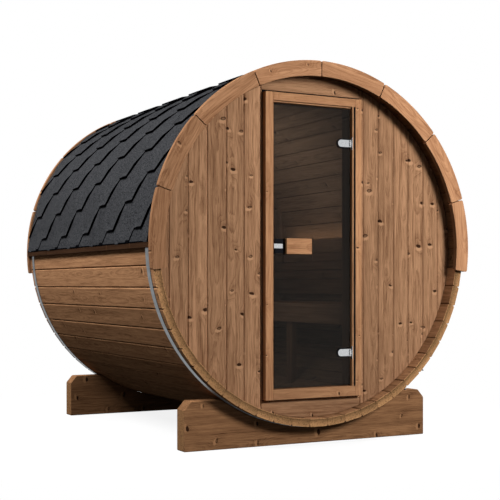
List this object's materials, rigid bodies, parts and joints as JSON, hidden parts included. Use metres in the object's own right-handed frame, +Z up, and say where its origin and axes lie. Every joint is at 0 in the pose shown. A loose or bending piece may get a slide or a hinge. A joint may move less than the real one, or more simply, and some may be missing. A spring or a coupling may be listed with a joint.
{
  "type": "barrel sauna",
  "caption": "Barrel-shaped wooden outdoor sauna on two cradle beams, with a framed glass door in a recessed plank front, hooped staves, a shingled upper half and an inner bench",
  "frame": {"origin": "On the ground, under the middle of the barrel: the bottom centre of the whole", "axes": "+Z up; the barrel lies along Y, its door faces -Y; +X is to the right of someone facing the door"},
  "size_m": [2.074, 2.204, 2.1417],
  "materials": {
    "stave_wood": "oiled heat-treated softwood",
    "board_wood": "oiled heat-treated softwood boards",
    "trim_wood": "oiled heat-treated softwood",
    "frame_wood": "smooth planed, oiled",
    "cradle_wood": "oiled heavy timber",
    "batten_wood": "dark stained",
    "bench_wood": "planed, unfinished",
    "roof_shingle": "mineral-surfaced bitumen",
    "galvanised_steel": "galvanised band",
    "hinge_chrome": "polished",
    "seal_rubber": "black seal",
    "tinted_glass": "bronze tinted, tempered"
  },
  "bodies": {
    "barrel": {"cradle_front": "cradle_wood", "cradle_rear": "cradle_wood", "staves_top": "stave_wood", "staves_right_1": "stave_wood", "staves_right_2": "stave_wood", "staves_right_3": "stave_wood", "staves_right_4": "stave_wood", "staves_bottom": "stave_wood", "staves_left_1": "stave_wood", "staves_left_2": "stave_wood", "staves_left_3": "stave_wood", "staves_left_4": "stave_wood", "front_wall_left": "board_wood", "front_wall_right": "board_wood", "front_wall_top": "board_wood", "front_wall_bottom": "board_wood", "rear_wall": "board_wood", "front_trim": "trim_wood", "rear_trim": "trim_wood", "front_hoop": "galvanised_steel", "rear_hoop": "galvanised_steel", "front_tensioner": "galvanised_steel", "rear_tensioner": "galvanised_steel", "roof_left": "roof_shingle", "roof_right": "roof_shingle", "eaves_batten_left": "batten_wood", "eaves_batten_right": "batten_wood", "door_jamb_left": "frame_wood", "door_jamb_right": "frame_wood", "door_head": "frame_wood", "door_sill": "frame_wood", "door_seal": "seal_rubber", "hinge_plates": "hinge_chrome", "bench_seat": "bench_wood", "bench_apron": "bench_wood", "bench_bearers": "bench_wood", "bench_legs": "bench_wood", "backrest_slats": "bench_wood", "backrest_battens": "bench_wood"},
    "door": {"door_glass": "tinted_glass", "hinge_clamps": "hinge_chrome", "outer_handle": "frame_wood", "inner_handle": "frame_wood", "door_catch": "hinge_chrome"}
  },
  "joints": [
    {"name": "door_swing", "type": "hinge", "parent": "barrel", "child": "door", "pos_m": [0.2435, -1.018, 1.1115], "axis": [0, 0, 1], "range_deg": [0, 105]}
  ]
}
